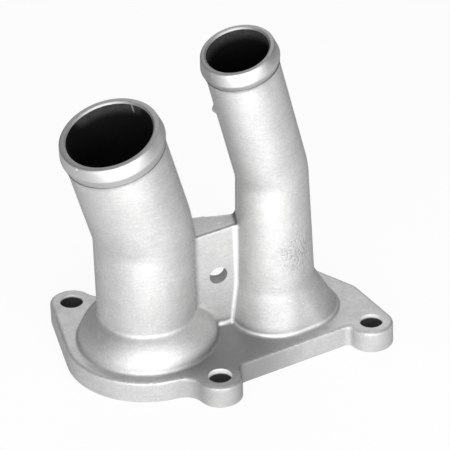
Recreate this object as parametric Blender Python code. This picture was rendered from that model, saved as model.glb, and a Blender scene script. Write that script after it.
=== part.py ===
"""Coolant outlet housing of an engine: one aluminium casting in metres, +Z up.

A thick four-eared flange stands on its machined gasket face. A domed port on the left
opens into the large hose pipe, an oblong port on the right into the small one. Both pipes
rise straight from the flange, lean over together and end in a rolled bead. A drilled web
ties them. X runs from the large port to the small one, and the origin is the middle of
the gasket face's footprint.
"""

import math

import bmesh
import bpy
import numpy as np
from mathutils import Matrix, Vector

# Flange
FLANGE_THICKNESS = 0.0083
FLANGE_EDGE_FILLET = 0.0006
BODY_WALL = 0.0040
EAR_RADIUS = 0.0079
BOLT_HOLE_RADIUS = 0.0043
SIDE_HOLLOW = 0.0072
FRONT_EDGE_HOLLOW = 0.0032
RIGHT_EAR_HOLLOW = 0.0018
BACK_HOLLOW = 0.0340
FRONT_EDGE_BEHIND_FRONT_BOLT = 0.0021
FRONT_EDGE_BEHIND_RIGHT_BOLT = 0.0019
CORNER_RADIUS = 0.0100
FOOT_FILLET = 0.0010

# Bolts on the left, seen from above and measured from the large port's axis
LEFT_BOLT = (-0.0218, 0.0289)
FRONT_BOLT = (0.0183, -0.0324)

# Bolts on the right and the corner between them, measured from the small port's axis
RIGHT_BOLT = (0.0314, -0.0156)
BACK_BOLT = (0.0046, 0.0320)
CORNER = (0.0233, 0.0037)

# Large port, its dome and its pipe
LARGE_RADIUS = 0.0180
LARGE_WALL = 0.0023
LARGE_BEND_HEIGHT = 0.0459
LARGE_LEAN = math.radians(16.3)
LARGE_LENGTH = 0.0466
LARGE_BEAD_LENGTH = 0.0084
LARGE_BEAD_RISE = 0.0034
DOME_SHOULDER = 0.0074
DOME_SKIRT = 0.0010
DOME_RISE = 0.0098
DOME_FULLNESS = 1.45
DOME_WALL = 0.0036
DOME_FILLET = 0.0008
SEAT_LEDGE = 0.0008
SEAT_DEPTH = 0.0030

# Small port, its oblong foot and its pipe
PORT_SPACING = 0.0476
SMALL_RADIUS = 0.0131
SMALL_WALL = 0.0019
SMALL_TAPER = 0.0012
SMALL_BEND_HEIGHT = 0.0612
SMALL_LEAN = math.radians(14.7)
SMALL_LENGTH = 0.0571
SMALL_BEAD_LENGTH = 0.0074
SMALL_BEAD_RISE = 0.0024
FOOT_FLARE = 0.0023
FOOT_OFFSET = 0.0075
FOOT_ANGLE = math.radians(18)
FOOT_HEIGHT = 0.0173
FOOT_WALL = 0.0036

# Both pipes
LEAN_AZIMUTH = math.radians(208)
BEND_INNER_RADIUS = 0.0100
BEAD_HEIGHT = 0.0010
BEAD_CROWN = 0.0008
MOUTH_EDGE = 0.0004
MOUTH_CHAMFER = 0.0006

# Web between the pipes
WEB_HEIGHT = 0.0421
WEB_FRONT_AT_LARGE = 0.0039
WEB_FRONT_AT_SMALL = 0.0010
WEB_BACK_AT_LARGE = 0.0052
WEB_BACK_AT_SMALL = 0.0038
WEB_BACK_DRAFT = math.radians(3.2)
WEB_TOP_SLOPE = math.radians(20)
WEB_FILLET = 0.0020
WEB_FOOT_FILLET = 0.0013
WEB_TOP_FILLET = 0.0007
WEB_HOLE_RADIUS = 0.0034
WEB_HOLE_HEIGHT = 0.0219

# Facets
LARGE_SIDES = 48
SMALL_SIDES = 40
HOLE_SIDES = 28
ARC_STEP = math.radians(9)
DOME_STEPS = 7
FOOT_STEPS = 7
BEND_STEPS = 5
FILLET_STEPS = 4
SHARP_ANGLE = math.radians(35)

# How far a tool runs past the face that it cuts or joins
PAST = 0.0020
SINK = 0.0004

# Points closer than this are one point
WELD = 0.00001

# What the sizes above lead to
LARGE_BORE = LARGE_RADIUS - LARGE_WALL
SMALL_BORE = SMALL_RADIUS - SMALL_WALL
DOME_RADIUS = LARGE_RADIUS + DOME_SHOULDER
FOOT_RADIUS = SMALL_RADIUS + SMALL_TAPER + FOOT_FLARE
SEAT_RADIUS = DOME_RADIUS + SEAT_LEDGE
BODY_RADIUS = SEAT_RADIUS + BODY_WALL


def clear_scene():
    for item in list(bpy.data.objects):
        bpy.data.objects.remove(item, do_unlink=True)


def unit(angle):
    return Vector((math.cos(angle), math.sin(angle)))


def degrees(*angles):
    return [math.radians(angle) for angle in angles]


def spread(first, last, count):
    return [first + (last - first) * k / (count - 1) for k in range(count)]


def new_object(name, mesh_data):
    mesh_data.normal_update()
    mesh = bpy.data.meshes.new(name)
    mesh_data.to_mesh(mesh)
    mesh_data.free()
    item = bpy.data.objects.new(name, mesh)
    bpy.context.collection.objects.link(item)
    return item


def loft(name, rings):
    """A closed body through rings of equal length, with flat ends. Rings run anticlockwise."""
    shape = bmesh.new()
    rows = [[shape.verts.new(point) for point in ring] for ring in rings]
    for lower, upper in zip(rows, rows[1:]):
        for i in range(len(lower)):
            j = (i + 1) % len(lower)
            shape.faces.new((lower[i], lower[j], upper[j], upper[i]))
    shape.faces.new(list(reversed(rows[0])))
    shape.faces.new(rows[-1])
    return new_object(name, shape)


# Flange outline: a chain of discs, each (centre, radius), with a hollow as a negative radius
def hollow_between(first, second, radius):
    """The hollow that touches two discs from outside, on the right of first to second."""
    (a, a_radius), (b, b_radius) = first, second
    span = (b - a).length
    reach_a = a_radius + radius
    reach_b = b_radius + radius
    turn = math.acos((reach_a ** 2 + span ** 2 - reach_b ** 2) / (2 * reach_a * span))
    heading = math.atan2((b - a).y, (b - a).x) - turn
    return a + reach_a * unit(heading), -radius


def hollow_on_edge(disc, edge_point, edge_angle, radius, side):
    """The hollow that touches a straight edge and a disc; side is 1 past the disc, -1 before it."""
    centre, disc_radius = disc
    along = unit(edge_angle)
    outward = unit(edge_angle - math.pi / 2)
    out = (edge_point - centre).dot(outward) + radius
    run = side * math.sqrt((disc_radius + radius) ** 2 - out ** 2)
    return centre + out * outward + run * along, -radius


def leave_angle(first, second):
    """Direction of the outward normal of the line that leaves one disc and reaches the next."""
    (a, a_radius), (b, b_radius) = first, second
    heading = math.atan2((b - a).y, (b - a).x)
    share = (a_radius - b_radius) / (b - a).length
    return heading - math.acos(max(-1.0, min(1.0, share)))


def chain_outline(discs):
    """Points of the closed outline that runs anticlockwise round a chain of discs."""
    points = []
    count = len(discs)
    for i, (centre, radius) in enumerate(discs):
        start = leave_angle(discs[i - 1], discs[i])
        end = leave_angle(discs[i], discs[(i + 1) % count])
        sweep = (end - start) % (2 * math.pi)
        if radius < 0:
            sweep -= 2 * math.pi
        steps = max(2, math.ceil(abs(sweep) / ARC_STEP))
        for k in range(steps + 1):
            points.append(centre + radius * unit(start + sweep * k / steps))
    return points


def bolt_centres():
    """Left, front, right and back bolt, measured from the large port's axis."""
    small_port = Vector((PORT_SPACING, 0))
    return [
        Vector(LEFT_BOLT), Vector(FRONT_BOLT),
        small_port + Vector(RIGHT_BOLT), small_port + Vector(BACK_BOLT),
    ]


def flange_outline():
    body = (Vector((0, 0)), BODY_RADIUS)
    left, front, right, back = [(bolt, EAR_RADIUS) for bolt in bolt_centres()]
    heading = leave_angle(
        (front[0], -FRONT_EDGE_BEHIND_FRONT_BOLT), (right[0], -FRONT_EDGE_BEHIND_RIGHT_BOLT)
    )
    edge_point = front[0] - FRONT_EDGE_BEHIND_FRONT_BOLT * unit(heading)
    edge_angle = heading + math.pi / 2
    discs = [
        left,
        body,
        hollow_between(body, front, SIDE_HOLLOW),
        front,
        hollow_on_edge(front, edge_point, edge_angle, FRONT_EDGE_HOLLOW, 1),
        hollow_on_edge(right, edge_point, edge_angle, RIGHT_EAR_HOLLOW, -1),
        right,
        (Vector((PORT_SPACING, 0)) + Vector(CORNER), CORNER_RADIUS),
        back,
        hollow_between(back, body, BACK_HOLLOW),
        body,
        hollow_between(body, left, SIDE_HOLLOW),
    ]
    return chain_outline(discs)


def inset_outline(points, distance):
    """The outline moved inwards by the mean normal of its two neighbouring edges."""
    moved = []
    count = len(points)
    for i, point in enumerate(points):
        before = (point - points[i - 1]).normalized()
        after = (points[(i + 1) % count] - point).normalized()
        along = (before + after).normalized()
        moved.append(point - distance * Vector((along.y, -along.x)))
    return moved


def flange():
    outline = []
    for point in flange_outline():
        if not outline or (point - outline[-1]).length > SINK / 2:
            outline.append(point)
    if (outline[0] - outline[-1]).length < SINK / 2:
        outline.pop()
    levels = [(0.0, 0.0)]
    for angle in degrees(0, 45, 90):
        drop = FLANGE_EDGE_FILLET * (1 - math.sin(angle))
        levels.append((FLANGE_THICKNESS - drop, FLANGE_EDGE_FILLET * (1 - math.cos(angle))))
    rings = []
    for height, inset in levels:
        rings.append([(p.x, p.y, height) for p in inset_outline(outline, inset)])
    return loft("housing", rings)


# Pipes: a centre line that rises, bends and leans, with a section carried along it
class Axis:
    """Centre line of a pipe. Length s is measured from the gasket face along the line."""

    def __init__(self, x, bend_height, lean, length, bend_radius):
        self.foot = Vector((x, 0, 0))
        self.lean = lean
        self.bend_radius = bend_radius
        self.side = Vector((math.cos(LEAN_AZIMUTH), math.sin(LEAN_AZIMUTH), 0))
        tangent = bend_radius * math.tan(lean / 2)
        self.bend_start = FLANGE_THICKNESS + bend_height - tangent
        self.bend_end = self.bend_start + bend_radius * lean
        self.end = self.bend_end + length - tangent

    def frame(self, s):
        """Point at s, and how far the line has turned over there."""
        up = Vector((0, 0, 1))
        if s <= self.bend_start:
            return self.foot + s * up, 0.0
        turn = min((s - self.bend_start) / self.bend_radius, self.lean)
        point = self.foot + self.bend_start * up
        point += self.bend_radius * ((1 - math.cos(turn)) * self.side + math.sin(turn) * up)
        if s > self.bend_end:
            heading = math.sin(turn) * self.side + math.cos(turn) * up
            point += (s - self.bend_end) * heading
        return point, turn

    def ring(self, s, radius, sides, offset=0.0):
        """Section at s: a circle, drawn out into an oblong where it has an offset."""
        point, turn = self.frame(s)
        hinge = Vector((0, 0, 1)).cross(self.side)
        tilt = Matrix.Rotation(turn, 3, hinge)
        shift = Vector((math.cos(FOOT_ANGLE), math.sin(FOOT_ANGLE), 0)) * offset
        points = []
        for i in range(sides):
            angle = FOOT_ANGLE + math.pi / 2 + 2 * math.pi * (i + 0.5) / sides
            spoke = Vector((math.cos(angle), math.sin(angle), 0))
            local = radius * spoke
            if i >= sides // 2:
                local += shift
            points.append(point + tilt @ local)
        return points


LARGE_AXIS = Axis(
    0.0, LARGE_BEND_HEIGHT, LARGE_LEAN, LARGE_LENGTH, LARGE_RADIUS + BEND_INNER_RADIUS
)
SMALL_AXIS = Axis(
    PORT_SPACING, SMALL_BEND_HEIGHT, SMALL_LEAN, SMALL_LENGTH, SMALL_RADIUS + BEND_INNER_RADIUS
)


def bend_stations(axis, radius):
    """Stations from the start of the bend to its end."""
    return [(s, radius) for s in spread(axis.bend_start, axis.bend_end, BEND_STEPS + 1)]


def bead_stations(axis, radius, length, rise):
    """The rolled bead: a rise from the pipe to a narrow crown, and a long nose to the mouth."""
    crown_start = axis.end - length + rise
    stations = [(axis.end - length, radius)]
    stations.append((crown_start, radius + BEAD_HEIGHT))
    stations.append((crown_start + BEAD_CROWN, radius + BEAD_HEIGHT))
    for angle in degrees(0, 45, 90):
        drop = MOUTH_EDGE * (1 - math.sin(angle))
        stations.append((axis.end - drop, radius - MOUTH_EDGE * (1 - math.cos(angle))))
    return stations


def bore_stations(axis, radius):
    """The bore round the bend and out through the mouth's chamfer."""
    stations = bend_stations(axis, radius)
    stations.append((axis.end - MOUTH_CHAMFER, radius))
    stations.append((axis.end + PAST, radius + MOUTH_CHAMFER + PAST))
    return stations


def foot_fillet(radius, fillet):
    """The fillet that a wall stands in, from just inside the flange up to the wall itself."""
    stations = [(FLANGE_THICKNESS - SINK, radius + fillet)]
    for angle in degrees(25, 55, 90):
        stations.append(
            (
                FLANGE_THICKNESS + fillet * (1 - math.cos(angle)),
                radius + fillet * (1 - math.sin(angle)),
            )
        )
    return stations


DOME_TOP = FLANGE_THICKNESS + DOME_SKIRT + DOME_RISE
FOOT_TOP = FLANGE_THICKNESS + FOOT_HEIGHT


def shoulder_radius(outer, inner, share):
    """Radius of a round shoulder, from outer at share 0 to inner at share 1 of its rise."""
    return inner + (outer - inner) * (1 - share ** DOME_FULLNESS) ** (1 / DOME_FULLNESS)


def shoulder(outer, inner, base, rise):
    """Stations over a shoulder, from an upright wall in to the pipe."""
    stations = []
    for angle in spread(0, math.pi / 2, DOME_STEPS + 1):
        share = math.sin(angle)
        stations.append((base + rise * share, shoulder_radius(outer, inner, share)))
    return stations


def flare(height):
    """How much of the oblong foot is left at a height above the gasket face, from 1 to 0."""
    share = (height - FLANGE_THICKNESS) / FOOT_HEIGHT
    return max(0.0, 1 - share)


def foot_radius(height):
    """Outer radius of the small port's casting: the foot, then the pipe's own slight taper."""
    up_pipe = max(0.0, (height - FOOT_TOP) / (SMALL_AXIS.bend_start - FOOT_TOP))
    pipe = SMALL_RADIUS + SMALL_TAPER * (1 - min(1.0, up_pipe))
    return pipe + FOOT_FLARE * flare(height)


def large_pipe():
    stations = [(FLANGE_THICKNESS / 2, DOME_RADIUS)]
    inner = LARGE_RADIUS + DOME_FILLET
    stations += shoulder(DOME_RADIUS, inner, FLANGE_THICKNESS + DOME_SKIRT, DOME_RISE)
    for angle in degrees(30, 60, 90):
        stations.append(
            (
                DOME_TOP + DOME_FILLET * (1 - math.cos(angle)),
                LARGE_RADIUS + DOME_FILLET * (1 - math.sin(angle)),
            )
        )
    stations += bend_stations(LARGE_AXIS, LARGE_RADIUS)
    stations += bead_stations(LARGE_AXIS, LARGE_RADIUS, LARGE_BEAD_LENGTH, LARGE_BEAD_RISE)
    return loft("large_pipe", [LARGE_AXIS.ring(s, r, LARGE_SIDES) for s, r in stations])


def small_pipe():
    rings = [SMALL_AXIS.ring(FLANGE_THICKNESS / 2, FOOT_RADIUS, SMALL_SIDES, FOOT_OFFSET)]
    for s, radius in foot_fillet(FOOT_RADIUS, FOOT_FILLET):
        rings.append(SMALL_AXIS.ring(s, radius, SMALL_SIDES, FOOT_OFFSET))
    for s in spread(FLANGE_THICKNESS, FOOT_TOP, FOOT_STEPS + 1)[1:]:
        rings.append(SMALL_AXIS.ring(s, foot_radius(s), SMALL_SIDES, FOOT_OFFSET * flare(s)))
    stations = bend_stations(SMALL_AXIS, SMALL_RADIUS)
    stations += bead_stations(SMALL_AXIS, SMALL_RADIUS, SMALL_BEAD_LENGTH, SMALL_BEAD_RISE)
    rings += [SMALL_AXIS.ring(s, r, SMALL_SIDES) for s, r in stations]
    return loft("small_pipe", rings)


def large_core():
    """Hollow of the large side: the seat for the valve, the dome's inside and the pipe's bore."""
    port = DOME_RADIUS - DOME_WALL
    base = FLANGE_THICKNESS + DOME_SKIRT
    stations = [(-PAST, SEAT_RADIUS), (SEAT_DEPTH, SEAT_RADIUS), (SEAT_DEPTH, port)]
    stations += shoulder(port, LARGE_BORE, base, DOME_RISE - DOME_WALL / 2)
    stations += bore_stations(LARGE_AXIS, LARGE_BORE)
    return loft("large_core", [LARGE_AXIS.ring(s, r, LARGE_SIDES) for s, r in stations])


def small_core():
    """Hollow of the small side: the oblong port drawn in to the pipe's bore."""
    port = FOOT_RADIUS - FOOT_WALL
    rings = [SMALL_AXIS.ring(-PAST, port, SMALL_SIDES, FOOT_OFFSET)]
    rings.append(SMALL_AXIS.ring(FLANGE_THICKNESS, port, SMALL_SIDES, FOOT_OFFSET))
    for s in spread(FLANGE_THICKNESS, FOOT_TOP, FOOT_STEPS + 1)[1:]:
        radius = SMALL_BORE + (port - SMALL_BORE) * flare(s)
        rings.append(SMALL_AXIS.ring(s, radius, SMALL_SIDES, FOOT_OFFSET * flare(s)))
    stations = bore_stations(SMALL_AXIS, SMALL_BORE)
    rings += [SMALL_AXIS.ring(s, r, SMALL_SIDES) for s, r in stations]
    return loft("small_core", rings)


# Web: a wedge between the pipes, filleted to both. The dome swallows its lower left corner
def web_fillet(point, along, outward, centre, radius, way):
    """Arc between a face of the web and a round pipe, from the face to the pipe."""
    start = point + WEB_FILLET * outward - centre
    reach = radius + WEB_FILLET
    run = -start.dot(along) + way * math.sqrt(
        start.dot(along) ** 2 - start.length_squared + reach ** 2
    )
    hub = centre + start + run * along
    first = math.atan2(-outward.y, -outward.x)
    last = math.atan2((centre - hub).y, (centre - hub).x)
    sweep = (last - first + math.pi) % (2 * math.pi) - math.pi
    angles = spread(first, first + sweep, FILLET_STEPS + 1)
    return [hub + WEB_FILLET * unit(angle) for angle in angles]


def web_face(at_large, at_small, height):
    """One face of the web with its fillets, left to right, as points in front of the X axis."""
    near = Vector((LARGE_RADIUS, -at_large))
    far = Vector((PORT_SPACING - SMALL_RADIUS, -at_small))
    along = (far - near).normalized()
    outward = Vector((along.y, -along.x))
    large = web_fillet(near, along, outward, Vector((0, 0)), LARGE_RADIUS, 1)
    small = web_fillet(near, along, outward, Vector((PORT_SPACING, 0)), foot_radius(height), -1)
    return list(reversed(large)) + small


def web_section(height, inset):
    """Section of the web at a height above the gasket face, anticlockwise."""
    draw = inset + (FLANGE_THICKNESS + WEB_HEIGHT - height) * math.tan(WEB_BACK_DRAFT)
    front = web_face(WEB_FRONT_AT_LARGE - inset, WEB_FRONT_AT_SMALL - inset, height)
    back = web_face(WEB_BACK_AT_LARGE - draw, WEB_BACK_AT_SMALL - draw, height)
    return front + [Vector((p.x, -p.y)) for p in reversed(back)]


def web():
    """The wedge between the pipes, filleted to both and to the flange, its top sloping forward."""
    top = FLANGE_THICKNESS + WEB_HEIGHT
    levels = [(height, -spread_out) for height, spread_out in foot_fillet(0.0, WEB_FOOT_FILLET)]
    levels += [(DOME_TOP, 0.0), (FOOT_TOP, 0.0)]
    for angle in degrees(0, 30, 60, 90):
        drop = WEB_TOP_FILLET * (1 - math.sin(angle))
        levels.append((top - drop, WEB_TOP_FILLET * (1 - math.cos(angle))))
    rings = []
    for height, inset in levels:
        slope = math.tan(WEB_TOP_SLOPE) * max(0.0, (height - FOOT_TOP) / (top - FOOT_TOP))
        rings.append([(p.x, p.y, height + slope * p.y) for p in web_section(height, inset)])
    return loft("web", rings)


def drill(name, centre, direction, radius, depth):
    """A cylinder that cuts a hole, starting at centre and running along direction."""
    cutter = bmesh.new()
    turn = direction.to_track_quat("Z", "Y").to_matrix().to_4x4()
    place = Matrix.Translation(centre + direction * depth / 2) @ turn
    bmesh.ops.create_cone(
        cutter, cap_ends=True, segments=HOLE_SIDES, radius1=radius, radius2=radius, depth=depth,
        matrix=place,
    )
    return new_object(name, cutter)


def combine(target, tool, operation):
    """Unites or cuts with the exact solver, and removes the tool."""
    boolean = target.modifiers.new(tool.name, "BOOLEAN")
    boolean.operation = operation
    boolean.solver = "EXACT"
    boolean.object = tool
    seen = target.evaluated_get(bpy.context.evaluated_depsgraph_get())
    mesh = bpy.data.meshes.new_from_object(seen)
    target.modifiers.clear()
    target.data = mesh
    bpy.data.objects.remove(tool, do_unlink=True)


def cast_aluminium():
    material = bpy.data.materials.new("cast_aluminium")
    material.use_nodes = True
    shader = material.node_tree.nodes["Principled BSDF"]
    shader.inputs["Base Color"].default_value = (0.72, 0.72, 0.71, 1)
    shader.inputs["Metallic"].default_value = 1.0
    shader.inputs["Roughness"].default_value = 0.45
    return material


def housing():
    casting = flange()
    for body in (large_pipe(), small_pipe(), web()):
        combine(casting, body, "UNION")
    for core in (large_core(), small_core()):
        combine(casting, core, "DIFFERENCE")
    down = Vector((0, 0, -1))
    for i, bolt in enumerate(bolt_centres()):
        start = Vector((*bolt, FLANGE_THICKNESS + PAST))
        hole = drill(f"bolt_drill_{i}", start, down, BOLT_HOLE_RADIUS, FLANGE_THICKNESS + 2 * PAST)
        combine(casting, hole, "DIFFERENCE")
    web_front = WEB_FRONT_AT_LARGE + WEB_FILLET
    web_depth = web_front + WEB_BACK_AT_LARGE + WEB_FILLET
    web_middle = (LARGE_RADIUS + PORT_SPACING - SMALL_RADIUS) / 2
    start = Vector((web_middle, -web_front, FLANGE_THICKNESS + WEB_HOLE_HEIGHT))
    hole = drill("web_drill", start, Vector((0, 1, 0)), WEB_HOLE_RADIUS, web_depth)
    combine(casting, hole, "DIFFERENCE")
    return casting


def tidy(item):
    """Merges what the cuts left double, moves the origin to the footprint's middle and shades."""
    shape = bmesh.new()
    shape.from_mesh(item.data)
    bmesh.ops.remove_doubles(shape, verts=shape.verts, dist=WELD)
    bmesh.ops.dissolve_degenerate(shape, edges=shape.edges, dist=WELD)
    bmesh.ops.triangulate(shape, faces=shape.faces)
    corners = np.array([vert.co for vert in shape.verts])
    middle = (corners.min(axis=0) + corners.max(axis=0)) / 2
    bmesh.ops.translate(shape, verts=shape.verts, vec=(-middle[0], -middle[1], 0))
    shape.to_mesh(item.data)
    shape.free()
    item.data.materials.clear()
    item.data.materials.append(cast_aluminium())
    item.data.shade_smooth()
    item.data.set_sharp_from_angle(angle=SHARP_ANGLE)


clear_scene()
part = housing()
tidy(part)
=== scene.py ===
# %% [markdown]
# # A cast coolant outlet housing
#
# On the real engine this part closes the end of the cooling circuit. It is one aluminium
# casting: a thick flange with bolt ears, a dome that holds the valve, and two bent pipes that
# hoses slide over. The way to a true look is to follow the way it is made. First the raw
# casting is modelled, all soft edges, then it is machined, which leaves crisp ones.
#
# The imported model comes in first. It is the frame: it says where everything is, and how big.

# %% Load the frame
import math

import bmesh
import bpy
from mathutils import Matrix, Vector


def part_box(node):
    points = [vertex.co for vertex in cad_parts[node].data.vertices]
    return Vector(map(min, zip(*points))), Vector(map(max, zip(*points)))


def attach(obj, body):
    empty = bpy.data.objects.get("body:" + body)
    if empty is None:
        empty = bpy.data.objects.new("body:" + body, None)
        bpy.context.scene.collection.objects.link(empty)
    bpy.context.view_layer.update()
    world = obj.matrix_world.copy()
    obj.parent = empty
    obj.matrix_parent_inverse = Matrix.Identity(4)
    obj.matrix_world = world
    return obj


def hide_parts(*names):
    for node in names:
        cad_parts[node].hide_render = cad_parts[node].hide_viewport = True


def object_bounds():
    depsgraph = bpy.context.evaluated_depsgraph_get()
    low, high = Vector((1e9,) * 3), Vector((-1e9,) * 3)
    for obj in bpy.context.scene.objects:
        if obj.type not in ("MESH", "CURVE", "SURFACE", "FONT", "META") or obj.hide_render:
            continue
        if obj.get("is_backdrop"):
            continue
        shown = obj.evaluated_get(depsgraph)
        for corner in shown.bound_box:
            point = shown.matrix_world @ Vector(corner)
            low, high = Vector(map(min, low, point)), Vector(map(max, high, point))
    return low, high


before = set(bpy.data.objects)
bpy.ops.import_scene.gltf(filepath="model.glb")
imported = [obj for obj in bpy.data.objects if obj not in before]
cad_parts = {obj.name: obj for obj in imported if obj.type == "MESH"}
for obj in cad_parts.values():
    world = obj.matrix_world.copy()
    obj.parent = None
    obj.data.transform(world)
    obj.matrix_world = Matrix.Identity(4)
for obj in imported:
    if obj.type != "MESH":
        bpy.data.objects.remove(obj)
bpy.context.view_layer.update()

housing_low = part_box("housing")[0]

# %% [markdown]
# ## Sizes
#
# All sizes are in metres. The flange is dimensioned as on a drawing, from the axis of the large
# port and from the axis of the small one. Where those two axes stand in the frame follows from
# the frame's own box: its left side is the round end of the flange, and its front is the
# front bolt ear.

# %% Sizes of the flange
FLANGE_THICKNESS = 0.0083
BODY_RADIUS = 0.0302
EAR_RADIUS = 0.0079
BOLT_HOLE_RADIUS = 0.0043
FRONT_BOLT_REACH = 0.0324
PORT_SPACING = 0.0476
LARGE_PORT = Vector(
    (housing_low[0] + BODY_RADIUS, housing_low[1] + FRONT_BOLT_REACH + EAR_RADIUS, 0)
)
SMALL_PORT = LARGE_PORT + Vector((PORT_SPACING, 0, 0))
BOLTS = {
    "left": LARGE_PORT + Vector((-0.0218, 0.0289, 0)),
    "front": LARGE_PORT + Vector((0.0183, -FRONT_BOLT_REACH, 0)),
    "right": SMALL_PORT + Vector((0.0314, -0.0156, 0)),
    "back": SMALL_PORT + Vector((0.0046, 0.0320, 0)),
}
CORNER = SMALL_PORT + Vector((0.0233, 0.0037, 0))
CORNER_RADIUS = 0.0100
print("port axes in mm:", [round(1000 * c, 2) for p in (LARGE_PORT, SMALL_PORT) for c in p.xy])

# %% [markdown]
# Each pipe rises straight, bends, and leans to the same side as the other. Its bend height is
# where its two straight centre lines would meet, above the flange, and its length runs from
# there to the mouth. The foot of the bead lies one bead below the mouth, and the slope up to
# its crown takes the rise.

# %% Sizes of the pipes
LEAN_AZIMUTH = math.radians(208)
SIDE = Vector((math.cos(LEAN_AZIMUTH), math.sin(LEAN_AZIMUTH), 0))
HINGE = Vector((0, 0, 1)).cross(SIDE)
BEND_INNER_RADIUS = 0.0100
LARGE = {
    "port": LARGE_PORT, "radius": 0.0180, "bore": 0.0157, "bend_height": 0.0459,
    "lean": math.radians(16.3), "length": 0.0466, "bead": 0.0084, "rise": 0.0034, "sides": 96,
}
SMALL = {
    "port": SMALL_PORT, "radius": 0.0131, "bore": 0.0112, "bend_height": 0.0612,
    "lean": math.radians(14.7), "length": 0.0571, "bead": 0.0074, "rise": 0.0024, "sides": 80,
}
print("pipes across in mm:", [round(2000 * pipe["radius"], 1) for pipe in (LARGE, SMALL)])

# %% [markdown]
# ## Hand tools
#
# Every operator works on what is selected, and the frame's solids come in selected. So each
# new piece starts by clearing the selection. A few small helpers cover the rest: one takes a
# piece in hand, two go in and out of edit mode, one selects vertices by where they are, and
# one applies a modifier.

# %% Helpers for modelling
SAME_PLACE = 0.00001


def clear_selection():
    if bpy.context.object and bpy.context.object.mode != "OBJECT":
        bpy.ops.object.mode_set(mode="OBJECT")
    bpy.ops.object.select_all(action="DESELECT")


def take(piece):
    """Selects one piece alone and makes it the active one."""
    clear_selection()
    piece.select_set(True)
    bpy.context.view_layer.objects.active = piece


def edit():
    bpy.ops.object.mode_set(mode="EDIT")


def leave():
    bpy.ops.object.mode_set(mode="OBJECT")


def pick(test):
    """Selects the vertices whose place passes the test, and only those."""
    bpy.ops.mesh.select_all(action="DESELECT")
    mesh = bmesh.from_edit_mesh(bpy.context.object.data)
    for vert in mesh.verts:
        vert.select_set(bool(test(vert.co)))
    mesh.select_flush(True)
    bmesh.update_edit_mesh(bpy.context.object.data)


# %% Helpers for finishing a piece
def settle(piece):
    """Puts the object's origin at the frame's origin and keeps its place in the mesh."""
    take(piece)
    bpy.ops.object.transform_apply(location=True, rotation=True, scale=True)


def modify(piece, kind, **settings):
    """Adds a modifier, sets it and applies it."""
    take(piece)
    bpy.ops.object.modifier_add(type=kind)
    modifier = piece.modifiers[-1]
    for name, value in settings.items():
        setattr(modifier, name, value)
    bpy.ops.object.modifier_apply(modifier=modifier.name)


def close_up(piece):
    """Merges doubles, fills the open ends and turns the faces outwards."""
    edit()
    bpy.ops.mesh.select_all(action="SELECT")
    bpy.ops.mesh.remove_doubles(threshold=SAME_PLACE)
    bpy.ops.mesh.fill_holes(sides=0)
    bpy.ops.mesh.normals_make_consistent(inside=False)
    leave()
    settle(piece)
    print(piece.name, "has", len(piece.data.polygons), "faces")


# %% [markdown]
# ## The flange
#
# The flange is a flat plate whose edge runs in arcs and straights, each flowing into the next.
# A draughtsman draws it with a compass and a ruler, and so do the next cells: a single point is
# carried round each arc by Spin and along each straight by Extrude. The arcs are a chain of
# discs, in which a hollow counts as a disc with a negative radius, and the straights touch them.
# The plate could be cut from a block with a Boolean for each arc, but then nothing would see to
# it that each arc flows into the next.

# %% Compass and ruler
def unit(angle):
    """The direction of an angle, as seen from above."""
    return Vector((math.cos(angle), math.sin(angle), 0))


def heading(a, b):
    """The angle of the line from one point to another."""
    return math.atan2((b - a).y, (b - a).x)


def touch_angle(first, second):
    """Which way the touching line's normal points, from one disc of the chain to the next."""
    (a, a_radius), (b, b_radius) = first, second
    share = (a_radius - b_radius) / (b - a).length
    return heading(a, b) - math.acos(max(-1.0, min(1.0, share)))


def hollow_between(first, second, radius):
    """The hollow that touches two discs."""
    (a, a_radius), (b, b_radius) = first, second
    span, reach_a, reach_b = (b - a).length, a_radius + radius, b_radius + radius
    turn = math.acos((reach_a ** 2 + span ** 2 - reach_b ** 2) / (2 * reach_a * span))
    return a + reach_a * unit(heading(a, b) - turn), -radius


def hollow_on_edge(disc, edge_point, normal_angle, radius, side):
    """The hollow that touches a disc and a straight edge, on one side of the disc or the other."""
    centre, disc_radius = disc
    outward = unit(normal_angle)
    out = (edge_point - centre).dot(outward) + radius
    run = side * math.sqrt((disc_radius + radius) ** 2 - out ** 2)
    return centre + out * outward + run * unit(normal_angle + math.pi / 2), -radius


# %% [markdown]
# The long front edge is the one straight that touches no ear. It passes a little inside the
# middles of the front and the right bolt, and a tight hollow leads from each ear onto it.

# %% Find the discs of the outline
INSIDE_FRONT_BOLT = 0.0021
INSIDE_RIGHT_BOLT = 0.0019
BODY_HOLLOW = 0.0072
FRONT_HOLLOW = 0.0032
RIGHT_HOLLOW = 0.0018
BACK_HOLLOW = 0.0340

body = (LARGE_PORT, BODY_RADIUS)
left, front, right, back = [(BOLTS[n], EAR_RADIUS) for n in ("left", "front", "right", "back")]
edge_normal = touch_angle((front[0], -INSIDE_FRONT_BOLT), (right[0], -INSIDE_RIGHT_BOLT))
edge_point = front[0] - INSIDE_FRONT_BOLT * unit(edge_normal)
discs = [
    left,
    body,
    hollow_between(body, front, BODY_HOLLOW),
    front,
    hollow_on_edge(front, edge_point, edge_normal, FRONT_HOLLOW, 1),
    hollow_on_edge(right, edge_point, edge_normal, RIGHT_HOLLOW, -1),
    right,
    (CORNER, CORNER_RADIUS),
    back,
    hollow_between(back, body, BACK_HOLLOW),
    body,
    hollow_between(body, left, BODY_HOLLOW),
]
print("the outline has", len(discs), "arcs, of which", sum(r < 0 for _, r in discs), "are hollows")

# %% [markdown]
# Spin turns clockwise for a positive angle when it is seen from above, so each sweep goes in
# with its sign changed. An arc gets one edge for about every four degrees.

# %% Draw an outline
ARC_STEP = math.radians(4)
SMALLEST_SWEEP = 0.001


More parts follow.
